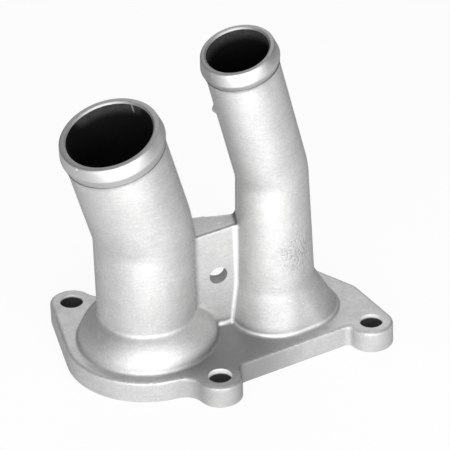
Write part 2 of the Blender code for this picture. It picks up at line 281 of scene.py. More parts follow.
def draw_outline(name, chain, height):
    """A flat face whose edge follows a chain of discs; it is left in edit mode, selected."""
    clear_selection()
    bpy.ops.mesh.primitive_plane_add(size=0.001, location=(0, 0, 0))
    piece = bpy.context.object
    piece.name = name
    edit()
    bpy.ops.mesh.merge(type="CENTER")
    where = None
    for i, (centre, radius) in enumerate(chain):
        start = touch_angle(chain[i - 1], chain[i])
        sweep = (touch_angle(chain[i], chain[(i + 1) % len(chain)]) - start) % (2 * math.pi)
        if radius < 0:
            sweep -= 2 * math.pi
        target = centre + radius * unit(start)
        target.z = height
        if where is None:
            bpy.ops.transform.translate(value=target)
        elif (target - where).length > 2 * SAME_PLACE:
            bpy.ops.mesh.extrude_region_move(TRANSFORM_OT_translate={"value": target - where})
        if abs(sweep) > SMALLEST_SWEEP:
            steps = max(2, math.ceil(abs(sweep) / ARC_STEP))
            bpy.ops.mesh.spin(
                steps=steps, angle=-sweep, center=(centre.x, centre.y, height), axis=(0, 0, 1)
            )
        where = centre + radius * unit(start + sweep)
        where.z = height
    bpy.ops.mesh.select_all(action="SELECT")
    bpy.ops.mesh.remove_doubles(threshold=3 * SAME_PLACE)
    bpy.ops.mesh.select_all(action="SELECT")
    bpy.ops.mesh.edge_face_add()
    return piece


# %% [markdown]
# The plate is drawn below the gasket face, because a casting leaves the foundry with extra
# metal there, and the mill takes it off later. A small bevel rounds its edges, as a mould does.

# %% Raise the plate
STOCK = 0.0010
FLANGE_EDGE_FILLET = 0.0006

casting = draw_outline("housing_casting", discs, -STOCK)
bpy.ops.mesh.extrude_region_move(
    TRANSFORM_OT_translate={"value": (0, 0, STOCK + FLANGE_THICKNESS)}
)
bpy.ops.mesh.bevel(offset=FLANGE_EDGE_FILLET, segments=2, affect="EDGES")
close_up(casting)

# %% [markdown]
# ## The pipes
#
# A bent pipe is one circle that travels. It is extruded upwards from station to station and
# resized at each, it goes round the bend with Spin, and it travels on along the leaning line
# to the bead. The same travelling circle makes the hollow inside, so outside and bore
# follow one centre line and the wall stays even. A curve with a round bevel would do for a plain
# pipe, but it can't turn a dome or an oblong foot into a circle on its way.

# %% The line that a pipe follows
def bend_of(pipe):
    """Height where the bend starts, the bend's centre, and the length of its tangents."""
    radius = pipe["radius"] + BEND_INNER_RADIUS
    tangent = radius * math.tan(pipe["lean"] / 2)
    start = FLANGE_THICKNESS + pipe["bend_height"] - tangent
    return start, pipe["port"] + radius * SIDE + Vector((0, 0, start)), tangent


def leaning(pipe):
    """Direction of the pipe past its bend."""
    return math.sin(pipe["lean"]) * SIDE + math.cos(pipe["lean"]) * Vector((0, 0, 1))


def mouth_of(pipe):
    """Middle of the pipe's mouth."""
    start, _, tangent = bend_of(pipe)
    corner = pipe["port"] + Vector((0, 0, start + tangent))
    return corner + pipe["length"] * leaning(pipe)


mouths = {"large": mouth_of(LARGE), "small": mouth_of(SMALL)}
print("mouth heights in mm:", {name: round(1000 * mouth.z, 1) for name, mouth in mouths.items()})

# %% A circle that travels
BEND_STEPS = 12


class Traveller:
    """A circle of edges that is extruded, resized and spun along a pipe, in edit mode."""

    def __init__(self, name, place, radius, sides):
        clear_selection()
        bpy.ops.mesh.primitive_circle_add(vertices=sides, radius=radius, location=place)
        self.piece = bpy.context.object
        self.piece.name = name
        settle(self.piece)
        edit()
        bpy.ops.mesh.select_all(action="SELECT")
        self.centre = Vector(place)
        self.radius = radius

    def go(self, centre, radius):
        """To any place, with a new radius, without turning."""
        move = centre - self.centre
        bpy.ops.mesh.extrude_region_move(TRANSFORM_OT_translate={"value": move})
        share = radius / self.radius
        bpy.ops.transform.resize(value=(share, share, share), center_override=centre)
        self.centre, self.radius = centre, radius

    def rise(self, height, radius):
        """Straight up to a height."""
        self.go(Vector((self.centre.x, self.centre.y, height)), radius)

    def bend(self, pipe):
        """Up to the bend and round it."""
        start, centre, _ = bend_of(pipe)
        self.rise(start, self.radius)
        bpy.ops.mesh.spin(steps=BEND_STEPS, angle=-pipe["lean"], center=centre, axis=HINGE)
        turned = Matrix.Rotation(pipe["lean"], 3, HINGE)
        self.centre = centre + turned @ (self.centre - centre)

    def finish(self):
        leave()
        close_up(self.piece)
        return self.piece


# %% [markdown]
# The bead is what keeps the hose on. It climbs in a short slope, has a narrow crown and falls
# in a long nose to the mouth, so that the hose goes on easily and comes off hard. It is cast a
# little too thick and too long, and the lathe gives it its shape later.

# %% The bead as it is cast
BEAD_HEIGHT = 0.0010
BEAD_CROWN = 0.0008
BEAD_STOCK = 0.0006


def add_bead(traveller, pipe, name):
    """Takes the circle over the bead, with some metal left on for the lathe."""
    lean = leaning(pipe)
    mouth = mouths[name]
    crown = pipe["radius"] + BEAD_HEIGHT + BEAD_STOCK
    traveller.go(mouth - (pipe["bead"] + BEAD_STOCK) * lean, pipe["radius"])
    traveller.go(mouth - (pipe["bead"] - pipe["rise"] + BEAD_STOCK) * lean, crown)
    traveller.go(mouth - 0.5 * pipe["rise"] * lean, crown)
    traveller.go(mouth + BEAD_STOCK * lean, pipe["radius"] + BEAD_STOCK)


# %% [markdown]
# The large pipe stands on a dome. Its outline is fuller than a cone and flatter than a ball:
# the fullness is the power in the curve, where 1 is a cone and 2 is a ball.

# %% The outside of the large pipe, with its dome
DOME_RADIUS = 0.0254
DOME_SKIRT = 0.0010
DOME_RISE = 0.0098
DOME_FULLNESS = 1.45
DOME_STEPS = 16


def shoulder(outer, inner, share):
    """Radius of the dome at a share of its rise."""
    return inner + (outer - inner) * (1 - share ** DOME_FULLNESS) ** (1 / DOME_FULLNESS)


travel = Traveller("large_pipe_outside", LARGE_PORT, DOME_RADIUS, LARGE["sides"])
travel.rise(FLANGE_THICKNESS + DOME_SKIRT, DOME_RADIUS)
for step in range(1, DOME_STEPS + 1):
    share = math.sin(math.pi / 2 * step / DOME_STEPS)
    height = FLANGE_THICKNESS + DOME_SKIRT + DOME_RISE * share
    travel.rise(height, shoulder(DOME_RADIUS, LARGE["radius"], share))
travel.bend(LARGE)
add_bead(travel, LARGE, "large")
large_pipe = travel.finish()

# %% [markdown]
# The small pipe stands on an oblong foot that flares. Its section is a circle whose far half is
# drawn out. That half is selected at each station and shifted, less and less on the
# way up, until the section is a plain circle.

# %% Sections of the oblong foot
SMALL_TAPER = 0.0012
FOOT_FLARE = 0.0023
FOOT_OFFSET = 0.0075
FOOT_HEIGHT = 0.0173
FOOT_WAY = unit(math.radians(18))


def draw_out(traveller, shift):
    """Shifts the far half of the ring that is selected, and leaves the whole ring selected."""
    mesh = bmesh.from_edit_mesh(traveller.piece.data)
    ring = [vert for vert in mesh.verts if vert.select]
    near = [v for v in ring if (v.co - traveller.centre).dot(FOOT_WAY) <= SAME_PLACE]
    for vert in near:
        vert.select_set(False)
    mesh.select_flush_mode()
    bpy.ops.transform.translate(value=shift * FOOT_WAY)
    for vert in ring:
        vert.select_set(True)
    mesh.select_flush_mode()
    bmesh.update_edit_mesh(traveller.piece.data)


def oblong(traveller, radius_at, offset_at, heights):
    """Takes an oblong ring up through the heights, in step with its radius and its offset."""
    for height in heights:
        old = offset_at(traveller.centre.z)
        share = radius_at(height) / traveller.radius
        traveller.rise(height, radius_at(height))
        draw_out(traveller, offset_at(height) - share * old)


# %% The outside of the small pipe, with its oblong foot
FOOT_STEPS = 12


def flare(height):
    """1 at the foot's base, and falling to 0 at its top."""
    return max(0.0, 1 - max(0.0, height - FLANGE_THICKNESS) / FOOT_HEIGHT)


def foot_offset(height):
    return FOOT_OFFSET * flare(height)


def small_outside(height):
    """Radius of the small pipe outside: the foot flares, and the upright part tapers."""
    foot_top = FLANGE_THICKNESS + FOOT_HEIGHT
    bend_start = bend_of(SMALL)[0]
    up = min(1.0, max(0.0, (height - foot_top) / (bend_start - foot_top)))
    return SMALL["radius"] + SMALL_TAPER * (1 - up) + FOOT_FLARE * flare(height)


travel = Traveller("small_pipe_outside", SMALL_PORT, small_outside(0), SMALL["sides"])
draw_out(travel, FOOT_OFFSET)
foot_heights = [FLANGE_THICKNESS + FOOT_HEIGHT * k / FOOT_STEPS for k in range(FOOT_STEPS + 1)]
oblong(travel, small_outside, foot_offset, foot_heights)
travel.rise(bend_of(SMALL)[0], SMALL["radius"])
travel.bend(SMALL)
add_bead(travel, SMALL, "small")
small_pipe = travel.finish()

# %% [markdown]
# ## The web
#
# A wedge of metal ties the two pipes. Its section is drawn with the same compass and ruler as
# the flange: the pipes' own circles, a small hollow where each face runs into a pipe, and
# straight faces between them. The circles are drawn a little small, so that the web reaches
# into the pipes. A plain block would be quicker, but it would meet them in hard corners, which
# no casting has.

# %% Section of the web
WEB_FILLET = 0.0020
WEB_FRONT = (0.0039, 0.0010)
WEB_BACK = (0.0052, 0.0038)
WEB_ROOT = 0.0006


def fillet_hub(point, along, outward, centre, radius, way):
    """Centre of the hollow that touches a face of the web and a pipe."""
    start = point + WEB_FILLET * outward - centre
    reach = radius + WEB_FILLET
    run = -start.dot(along) + way * math.sqrt(
        start.dot(along) ** 2 - start.length_squared + reach ** 2
    )
    return centre + start + run * along


def web_hollows(halves, side):
    """Hollows of one face of the web: side -1 is the front and 1 is the back."""
    near = LARGE_PORT + Vector((LARGE["radius"], side * halves[0], 0))
    far = SMALL_PORT + Vector((-SMALL["radius"], side * halves[1], 0))
    along = (far - near).normalized()
    outward = side * Vector((-along.y, along.x, 0))
    large = fillet_hub(near, along, outward, LARGE_PORT, LARGE["radius"], 1)
    small = fillet_hub(near, along, outward, SMALL_PORT, SMALL["radius"] + SMALL_TAPER / 2, -1)
    return [(large, -WEB_FILLET), (small, -WEB_FILLET)]


web_chain = [
    (LARGE_PORT, LARGE["radius"] - WEB_ROOT),
    *web_hollows(WEB_FRONT, -1),
    (SMALL_PORT, SMALL["radius"] + SMALL_TAPER / 2 - WEB_ROOT),
    *reversed(web_hollows(WEB_BACK, 1)),
]
print("the web's section has", len(web_chain), "arcs")

# %% [markdown]
# The section is extruded down in two steps. At each, the back face is drawn in, which is the
# draft that lets the casting out of its mould. At the last, the end beside the small pipe
# follows the flare of the foot. Bisect then cuts the top to a slope, and Bevel rounds it.

# %% Draw the web and slope its top
WEB_HEIGHT = 0.0421
WEB_EXTRA_HEIGHT = 0.0040
WEB_TOP_SLOPE = math.radians(20)
WEB_BACK_DRAFT = math.radians(3.2)
WEB_TOP_FILLET = 0.0006
BACK_BEGINS = LARGE_PORT.y + 0.0005
RIGHT_END_BEGINS = SMALL_PORT.x - 0.020

web_top = FLANGE_THICKNESS + WEB_HEIGHT + WEB_EXTRA_HEIGHT
web = draw_outline("web_wedge", web_chain, web_top)
foot_top = FLANGE_THICKNESS + FOOT_HEIGHT
draft = math.tan(WEB_BACK_DRAFT)
for bottom, shift_left in ((foot_top, 0.0), (FLANGE_THICKNESS / 2, FOOT_FLARE)):
    drawn = bmesh.from_edit_mesh(web.data)
    old_bottom = min(v.co.z for v in drawn.verts)
    drop = (0, 0, bottom - old_bottom)
    bpy.ops.mesh.extrude_region_move(TRANSFORM_OT_translate={"value": drop})
    pick(lambda p: abs(p.z - bottom) < SAME_PLACE and p.y > BACK_BEGINS)
    bpy.ops.transform.translate(value=(0, -draft * (old_bottom - bottom), 0))
    if shift_left:
        pick(lambda p: abs(p.z - bottom) < SAME_PLACE and p.x > RIGHT_END_BEGINS)
        bpy.ops.transform.translate(value=(-shift_left, 0, 0))
    pick(lambda p: abs(p.z - bottom) < SAME_PLACE)

bpy.ops.mesh.select_all(action="SELECT")
slope_normal = Vector((0, -math.sin(WEB_TOP_SLOPE), math.cos(WEB_TOP_SLOPE)))
slope_start = Vector((0, LARGE_PORT.y, FLANGE_THICKNESS + WEB_HEIGHT))
bpy.ops.mesh.bisect(
    plane_co=slope_start, plane_no=slope_normal, use_fill=True, clear_outer=True
)
pick(lambda p: abs((p - slope_start).dot(slope_normal)) < SAME_PLACE)
bpy.ops.mesh.bevel(offset=WEB_TOP_FILLET, segments=2, affect="EDGES")
close_up(web)
print("web top in mm:", round(1000 * max(v.co.z for v in web.data.vertices), 1))

# %% [markdown]
# ## One casting
#
# The pieces overlap, and they become one piece of metal now. A voxel Remesh wraps one even
# skin round everything, and smoothing rounds every edge and hollow a little, as sand does.
# A Boolean would join them too, but its faces are too uneven to be smoothed. The edges that
# are crisp on the real thing come afterwards, from the tools. A nub is left on the small pipe,
# where a feeder of the mould was broken off.

# %% Fuse the pieces and soften them
NUB_RADIUS = 0.0012
NUB_PLACE = (-0.0013, -0.0026, 0.1000)
VOXEL = 0.00064
SOFTENING = 2

clear_selection()
bpy.ops.mesh.primitive_uv_sphere_add(
    segments=16, ring_count=10, radius=NUB_RADIUS, location=NUB_PLACE
)
nub = bpy.context.object
settle(nub)

clear_selection()
for piece in (large_pipe, small_pipe, web, nub, casting):
    piece.select_set(True)
bpy.context.view_layer.objects.active = casting
bpy.ops.object.join()
modify(casting, "REMESH", mode="VOXEL", voxel_size=VOXEL)
modify(casting, "SMOOTH", factor=0.5, iterations=SOFTENING)
print("the casting has", len(casting.data.polygons), "faces")

# %% [markdown]
# ## Materials before machining
#
# Each tool carries the material of the surface that it leaves behind, and the Boolean modifier
# hands it on to the cut. So the slots are made first: the blasted skin of the casting, the
# rough cored inside of the pipes, the bright machined faces and the walls of the drilled holes.
# The cut faces could be looked for after each cut instead, but the tool knows them for sure.

# %% Make the material slots
MATERIALS = {
    name: bpy.data.materials.new(name) for name in ("blasted", "cored", "machined", "drilled")
}
casting.data.materials.clear()
for material in MATERIALS.values():
    material.use_nodes = True
    casting.data.materials.append(material)
print("slots:", [slot.name for slot in casting.material_slots])

# %% [markdown]
# ## The tools
#
# The cores follow the pipes from the inside, with the same travelling circle. The large one
# begins with the inside of the dome, and the small one begins oblong. Both start a little
# below the face that they come out of and end a little past the mouth, so that they cut clean
# through.

# %% Cores of the two pipes
PAST = 0.0020
SEAT_DEPTH = 0.0030
DOME_WALL = 0.0036
FOOT_WALL = 0.0036

dome_inside = DOME_RADIUS - DOME_WALL
travel = Traveller(
    "large_core", LARGE_PORT + Vector((0, 0, SEAT_DEPTH - PAST)), dome_inside, LARGE["sides"]
)
travel.rise(FLANGE_THICKNESS + DOME_SKIRT, dome_inside)
for step in range(1, DOME_STEPS // 2 + 1):
    share = math.sin(math.pi / 2 * step / (DOME_STEPS // 2))
    height = FLANGE_THICKNESS + DOME_SKIRT + (DOME_RISE - DOME_WALL / 2) * share
    travel.rise(height, shoulder(dome_inside, LARGE["bore"], share))
travel.bend(LARGE)
travel.go(mouths["large"] + PAST * leaning(LARGE), LARGE["bore"])
large_core = travel.finish()

foot_inside = SMALL["radius"] + SMALL_TAPER + FOOT_FLARE - FOOT_WALL
travel = Traveller("small_core", SMALL_PORT - Vector((0, 0, PAST)), foot_inside, SMALL["sides"])
draw_out(travel, FOOT_OFFSET)
oblong(
    travel,
    lambda height: SMALL["bore"] + (foot_inside - SMALL["bore"]) * flare(height),
    foot_offset,
    foot_heights,
)
travel.bend(SMALL)
travel.go(mouths["small"] + PAST * leaning(SMALL), SMALL["bore"])
small_core = travel.finish()

# %% [markdown]
# The lathe tool is a ring with the bead's profile on its inside. It also faces the mouth and
# gives it a chamfer at 45 degrees, which is the thin bright line round the mouth. The stations
# go from inside the bore over the mouth and down the bead: each is a place along the pipe, from
# the mouth, and a radius there. The pipe could have this profile from the start, but smoothing
# the casting would have rounded it.

# %% Profile of the bead
MOUTH_CHAMFER = 0.0006
MOUTH_EDGE = 0.0004
NOSE_START = 0.0001
TOOL_INSIDE = 0.003
TOOL_OUTSIDE = 0.006


def bead_stations(pipe):
    """The lathe tool's profile, without its first station."""
    radius, bead, rise = pipe["radius"], pipe["bead"], pipe["rise"]
    inner = pipe["bore"] - TOOL_INSIDE
    crown_edge = bead - rise
    return [
        (-(pipe["bore"] - inner) - MOUTH_CHAMFER, inner),
        (0, pipe["bore"] + MOUTH_CHAMFER),
        (0, radius - MOUTH_EDGE),
        (-0.3 * MOUTH_EDGE, radius - 0.3 * MOUTH_EDGE),
        (-MOUTH_EDGE, radius + NOSE_START),
        (-(crown_edge - BEAD_CROWN), radius + 0.92 * BEAD_HEIGHT),
        (-(crown_edge - 0.5 * BEAD_CROWN), radius + BEAD_HEIGHT),
        (-crown_edge, radius + BEAD_HEIGHT),
        (-(crown_edge + 0.12 * rise), radius + 0.94 * BEAD_HEIGHT),
        (-(crown_edge + 0.30 * rise), radius + 0.74 * BEAD_HEIGHT),
        (-(crown_edge + 0.70 * rise), radius + 0.20 * BEAD_HEIGHT),
        (-bead, radius),
        (-bead, radius + TOOL_OUTSIDE),
        (TOOL_OUTSIDE, radius + TOOL_OUTSIDE),
        (TOOL_OUTSIDE, inner),
    ]


# %% Lathe tools for the beads
def lathe_tool(name, pipe):
    """A ring that is drawn round the leaning line, station by station."""
    lean = leaning(pipe)
    mouth = mouths[name]
    inner = pipe["bore"] - TOOL_INSIDE
    clear_selection()
    bpy.ops.mesh.primitive_circle_add(
        vertices=pipe["sides"], radius=inner, location=mouth,
        rotation=lean.to_track_quat("Z", "Y").to_euler(),
    )
    tool = bpy.context.object
    tool.name = name + "_lathe"
    settle(tool)
    edit()
    bpy.ops.mesh.select_all(action="SELECT")
    old_along, old_radius = 0, inner
    for along, radius in bead_stations(pipe):
        bpy.ops.mesh.extrude_region_move(
            TRANSFORM_OT_translate={"value": (along - old_along) * lean}
        )
        share = radius / old_radius
        bpy.ops.transform.resize(value=(share, share, share), center_override=mouth + along * lean)
        old_along, old_radius = along, radius
    leave()
    close_up(tool)
    return tool


lathes = [lathe_tool("large", LARGE), lathe_tool("small", SMALL)]

# %% [markdown]
# The drills are plain cylinders, and so is the mill for the valve seat, which is short and fat.
# The web's drill lies on its side, halfway between the pipes.

# %% Drills
SEAT_RADIUS = 0.0262
SEAT_TOOL_HEIGHT = 0.01
DRILL_LENGTH = 0.03
WEB_DRILL_LENGTH = 0.04
WEB_HOLE_RADIUS = 0.0034
WEB_HOLE_HEIGHT = 0.0219


def cylinder(name, radius, depth, middle, rotation=(0, 0, 0), sides=64):
    clear_selection()
    bpy.ops.mesh.primitive_cylinder_add(
        vertices=sides, radius=radius, depth=depth, location=middle, rotation=rotation
    )
    bpy.context.object.name = name
    settle(bpy.context.object)
    return bpy.context.object


drills = [
    cylinder(name + "_drill", BOLT_HOLE_RADIUS, DRILL_LENGTH, centre)
    for name, centre in BOLTS.items()
]
web_middle = (
    (LARGE_PORT.x + LARGE["radius"] + SMALL_PORT.x - SMALL["radius"]) / 2,
    LARGE_PORT.y,
    FLANGE_THICKNESS + WEB_HOLE_HEIGHT,
)
web_drill = cylinder(
    "web_drill", WEB_HOLE_RADIUS, WEB_DRILL_LENGTH, web_middle, (math.pi / 2, 0, 0)
)
seat_middle = LARGE_PORT + Vector((0, 0, SEAT_DEPTH - SEAT_TOOL_HEIGHT / 2))
seat = cylinder("seat_mill", SEAT_RADIUS, SEAT_TOOL_HEIGHT, seat_middle, sides=96)
print("drills ready:", [drill.name for drill in (*drills, web_drill, seat)])

# %% [markdown]
# ## Machine the casting
#
# The tools go in one by one, and each leaves its material on the faces that it cuts. The exact
# solver takes longer than the fast one, but it copes with faces that touch.

# %% Turn, bore and drill
def cut(piece, tool, material):
    """Takes the tool out of the piece; the cut faces get the tool's material."""
    tool.data.materials.clear()
    tool.data.materials.append(MATERIALS[material])
    before = len(piece.data.polygons)
    modify(
        piece, "BOOLEAN", operation="DIFFERENCE", solver="EXACT", material_mode="TRANSFER",
        object=tool,
    )
    print(tool.name, "changed the piece by", len(piece.data.polygons) - before, "faces")
    clear_selection()
    tool.select_set(True)
    bpy.ops.object.delete()


for tool in (*lathes, seat):
    cut(casting, tool, "machined")
for tool in (large_core, small_core):
    cut(casting, tool, "cored")
for tool in (*drills, web_drill):
    cut(casting, tool, "drilled")

# %% [markdown]
# The mill comes last and takes the stock off the gasket face, which is a Bisect at height zero.
# The faces it leaves are found by their height and direction.

# %% Mill the gasket face
take(casting)
edit()
bpy.ops.mesh.select_all(action="SELECT")
bpy.ops.mesh.bisect(plane_co=(0, 0, 0), plane_no=(0, 0, 1), use_fill=True, clear_inner=True)
mesh = bmesh.from_edit_mesh(casting.data)
milled = [
    face for face in mesh.faces
    if face.calc_center_median().z < SAME_PLACE and abs(face.normal.z) > 0.9
]
for face in milled:
    face.material_index = list(MATERIALS).index("machined")
bmesh.update_edit_mesh(casting.data)
print("milled faces:", len(milled))
leave()

# %% [markdown]
# Flat shading would show each small face. Smooth shading with an angle limit keeps the
# machined edges crisp and the cast ones round.

# %% Shade the casting
take(casting)
bpy.ops.object.shade_smooth_by_angle(angle=math.radians(35))
print("faces in all:", len(casting.data.polygons))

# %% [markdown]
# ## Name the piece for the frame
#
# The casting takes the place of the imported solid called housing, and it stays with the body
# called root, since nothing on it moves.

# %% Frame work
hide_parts("housing")
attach(casting, "root")
print(casting.name, "stands for the housing")

# %% [markdown]
# ## Materials
#
# A small class lets shader values be written as sums and products. Behind each sign stands a
# Math node. All patterns are read at the Object coordinates, in metres, so a noise of scale
# 2000 has grains of half a millimetre. Pictures could give patterns too, but they would need
# an unwrapped mesh, and these noises need none and stay sharp close up.

# %% A shader value that can be reckoned with
class Value:
    """A shader number that can be added, multiplied and compared like a number."""

    def __init__(self, sheet, socket):
        self.sheet, self.socket = sheet, socket

    def math(self, operation, first, second=0.0):
        made = self.sheet.node("ShaderNodeMath", {"operation": operation}, {0: first, 1: second})
        return Value(self.sheet, made.outputs[0])

    def __add__(self, other):
        return self.math("ADD", self, other)

    def __sub__(self, other):
        return self.math("SUBTRACT", self, other)

    def __rsub__(self, other):
        return self.math("SUBTRACT", other, self)

    def __mul__(self, other):
        return self.math("MULTIPLY", self, other)

    def __lt__(self, other):
        return self.math("LESS_THAN", self, other)

    def least(self, other):
        return self.math("MINIMUM", self, other)

    def most(self, other):
        return self.math("MAXIMUM", self, other)

    def absolute(self):
        return self.math("ABSOLUTE", self)

    __radd__ = __add__
    __rmul__ = __mul__


# %% [markdown]
# The other class stands for one material's sheet of nodes. Every node on it comes from one method.
# Marks are placed by their distance from a point or from a straight line on the part: the real
# marks sit where a tool or a hand reached, and the painted light and shade sit where light and
# shade fall.

# %% The sheet of a material's nodes
class Sheet:
    """One material's node tree, with short ways to add nodes to it."""

    def __init__(self, material):
        self.tree = material.node_tree
        self.shader = self.tree.nodes["Principled BSDF"]
        self.place = self.node("ShaderNodeTexCoord").outputs["Object"]

    def node(self, kind, settings=None, inputs=None):
        made = self.tree.nodes.new(kind)
        for name, value in (settings or {}).items():
            setattr(made, name, value)
        for key, value in (inputs or {}).items():
            self.feed(made.inputs[key], value)
        return made

    def feed(self, socket, value):
        """Links a value to a socket, or sets the socket if it is a plain number or colour."""
        if isinstance(value, Value):
            value = value.socket
        if isinstance(value, bpy.types.NodeSocket):
            self.tree.links.new(value, socket)
        else:
            socket.default_value = value

    def vector(self, operation, *inputs):
        """The Vector Math node of one operation."""
        return self.node(
            "ShaderNodeVectorMath", {"operation": operation}, dict(enumerate(inputs))
        )

    def noise(self, scale, detail=2.0, roughness=0.5, place=None):
        inputs = {
            "Vector": place or self.place, "Scale": scale, "Detail": detail,
            "Roughness": roughness,
        }
        return Value(self, self.node("ShaderNodeTexNoise", None, inputs).outputs[0])

    def along(self, direction, start=(0, 0, 0)):
        """Distance from a point along a direction."""
        moved = self.vector("SUBTRACT", self.place, start)
        dot = self.vector("DOT_PRODUCT", moved.outputs[0], direction)
        return Value(self, dot.outputs["Value"])

    def near(self, point, core, reach):
        """1 within the core round a point, and falling to 0 at the reach."""
        made = self.vector("DISTANCE", self.place, point)
        return self.ramp(Value(self, made.outputs["Value"]), core, reach, 1.0, 0.0)

    def beside(self, point, way, core, reach):
        """1 within the core round a straight line, and falling to 0 at the reach."""
        moved = self.vector("SUBTRACT", self.place, point)
        crossed = self.vector("CROSS_PRODUCT", moved.outputs[0], way)
        length = self.vector("LENGTH", crossed.outputs[0])
        return self.ramp(Value(self, length.outputs["Value"]), core, reach, 1.0, 0.0)

    def ramp(self, value, low, high, at_low=0.0, at_high=1.0):
        """Smooth step from one value to another."""
        inputs = {0: value, 1: low, 2: high, 3: at_low, 4: at_high}
        made = self.node("ShaderNodeMapRange", {"interpolation_type": "SMOOTHSTEP"}, inputs)
        return Value(self, made.outputs[0])

    def blend(self, share, first, second):
        """From the first colour to the second."""
        made = self.node("ShaderNodeMix", {"data_type": "RGBA"}, {0: share, 6: first, 7: second})
        return made.outputs[2]

    def bump(self, height, distance):
        inputs = {"Height": height, "Distance": distance}
        return self.node("ShaderNodeBump", None, inputs).outputs[0]

    def finish(self, colour, roughness, normal, metallic, tint=None):
        """Feeds the shader; the tint of the edges is one grey all over."""
        self.feed(self.shader.inputs["Base Color"], colour)
        self.feed(self.shader.inputs["Roughness"], roughness)
        self.feed(self.shader.inputs["Normal"], normal)
        self.shader.inputs["Metallic"].default_value = metallic
        if tint:
            self.shader.inputs["Specular Tint"].default_value = tint
        print("nodes in this material:", len(self.tree.nodes))


def grey(level, less_blue=0.0):
    """A grey colour, a touch warmer where it has less blue."""
    return (level, level, level - less_blue, 1)


UP = (0, 0, 1)

# %% [markdown]
# ### The blasted skin
#
# Fine shot leaves a dense grain of tiny dents. The grain goes into the bump and, with broad
# soft patches, into the colour, because no casting is even. The marks of a hand grinder run
# level round the pipes. They are a noise that is read at squeezed places, so that its grains
# come out long.

# %% Grain, patches and grinder marks
GRINDER_SQUEEZE = (0.18, 0.18, 1)

sheet = Sheet(MATERIALS["blasted"])
patches = sheet.noise(90, 3.0, 0.6)
grain = sheet.noise(1500, 2.0, 0.7)
coarse = sheet.noise(450, 2.0, 0.5)
squeezed = sheet.vector("MULTIPLY", sheet.place, GRINDER_SQUEEZE)
streaks = sheet.noise(1300, 2.0, 0.6, squeezed.outputs[0])
tone = sheet.ramp(0.3 * patches + 0.48 * grain + 0.22 * streaks, 0.33, 0.67)
metal = sheet.blend(tone, grey(0.53, 0.002), grey(0.67, 0.004))
print("grain and streaks:", len(sheet.tree.nodes), "nodes")

# %% [markdown]
# Single dents get painted glints. Coarser pits lie in a patch on the right of the small pipe.
# Painted shade darkens the flange in the corner between the ports, where the pipes and the web
# shade it.

# %% Painted glints, pits and painted shade
PITTED_PLACE = (0.0252, -0.0118, 0.041)
SHADED_FLANGE_PLACE = LARGE_PORT + Vector((0.024, -0.014, FLANGE_THICKNESS))

height = sheet.along(UP)
low_down = sheet.ramp(height, FLANGE_THICKNESS + 0.0002, FLANGE_THICKNESS + 0.0047, 1.0, 0.0)
# Painted glints: light specks in the colour stand in for dents that catch the light.
painted_glints = 0.6 * sheet.ramp(sheet.noise(1000, 0.0, 0.5), 0.81, 0.88)
pitted = sheet.near(PITTED_PLACE, 0.002, 0.013)
pits = pitted * sheet.ramp(sheet.noise(1100, 1.0, 0.5), 0.45, 0.62)
# Painted shade: the flange top is darkened between the ports, where the pipes and the web keep the
# light off.
flange_shade = sheet.near(SHADED_FLANGE_PLACE, 0.012, 0.034) * low_down
metal = sheet.blend(painted_glints, metal, grey(0.90))
metal = sheet.blend(0.35 * pits, metal, grey(0.34, 0.002))
metal = sheet.blend(0.8 * flange_shade, metal, grey(0.26, 0.002))
print("with specks, pits and grime:", len(sheet.tree.nodes), "nodes")

# %% [markdown]
# A painted highlight lies in the hollow between the web's front face and the small pipe, where the
# hollow mirrors a soft box. It stands upright above the foot and slants along the foot's flare, so
# it takes two straight lines. A short painted highlight runs along the foot of the web, and a thin
# one goes round the oblong foot.

# %% Painted highlight in the hollow
HIGHLIGHT_CORE = 0.0004
HIGHLIGHT_REACH = 0.0015
HOLLOW_ANGLE = math.radians(55)

hollow = web_hollows(WEB_FRONT, -1)[1][0] + WEB_FILLET * unit(HOLLOW_ANGLE)
hollow.z = foot_top
slant = Vector((FOOT_FLARE, 0, FOOT_HEIGHT)).normalized()
is_high = sheet.ramp(height, hollow.z - 0.0005, hollow.z + 0.0005)
high = sheet.beside(hollow, UP, HIGHLIGHT_CORE, HIGHLIGHT_REACH)
low = sheet.beside(hollow, slant, HIGHLIGHT_CORE, HIGHLIGHT_REACH)
painted_highlight = (low + is_high * (high - low)) * sheet.near(hollow, 0.024, 0.0255)
web_foot = Vector((-0.0005, hollow.y - 0.0008, FLANGE_THICKNESS + 0.0010))
foot_highlight = sheet.beside(web_foot, (1, 0, 0), 0.0003, 0.0012)
painted_highlight = painted_highlight.most(foot_highlight * sheet.near(web_foot, 0.0024, 0.0034))
rim_highlight = sheet.ramp(height, FLANGE_THICKNESS + 0.0003, FLANGE_THICKNESS + 0.0008)
rim_highlight = rim_highlight * sheet.ramp(height, FLANGE_THICKNESS + 0.0011, FLANGE_THICKNESS + 0.0019, 1.0, 0.0)
rim_highlight = rim_highlight * sheet.near(SMALL_PORT + 0.5 * FOOT_OFFSET * FOOT_WAY, 0.0250, 0.0262)
painted_highlight = painted_highlight.most(0.6 * rim_highlight)
# Painted highlight: the hollow, the web's foot and the rim of the foot are coloured near white.
metal = sheet.blend(painted_highlight, metal, grey(0.90))
print("brushed hollow in mm:", [round(1000 * c, 1) for c in hollow])

# %% [markdown]
# Two dark lines of painted shade lie on the web's top: one in the corner where it meets the small
# pipe, and a thin one along its front edge.

# %% Painted shade on the web's top
slope_up = Vector((0, math.cos(WEB_TOP_SLOPE), math.sin(WEB_TOP_SLOPE)))
shaded_corner = Vector((SMALL_PORT.x - SMALL["radius"], slope_start.y, slope_start.z))
shaded_corner += 0.0014 * slope_up
# Painted shade in the corner where the web's top meets the small pipe.
corner_shade = sheet.beside(shaded_corner, slope_up, 0.0005, 0.0021)
corner_shade = corner_shade * sheet.near(shaded_corner, 0.0022, 0.0036)
metal = sheet.blend(0.75 * corner_shade, metal, grey(0.10))

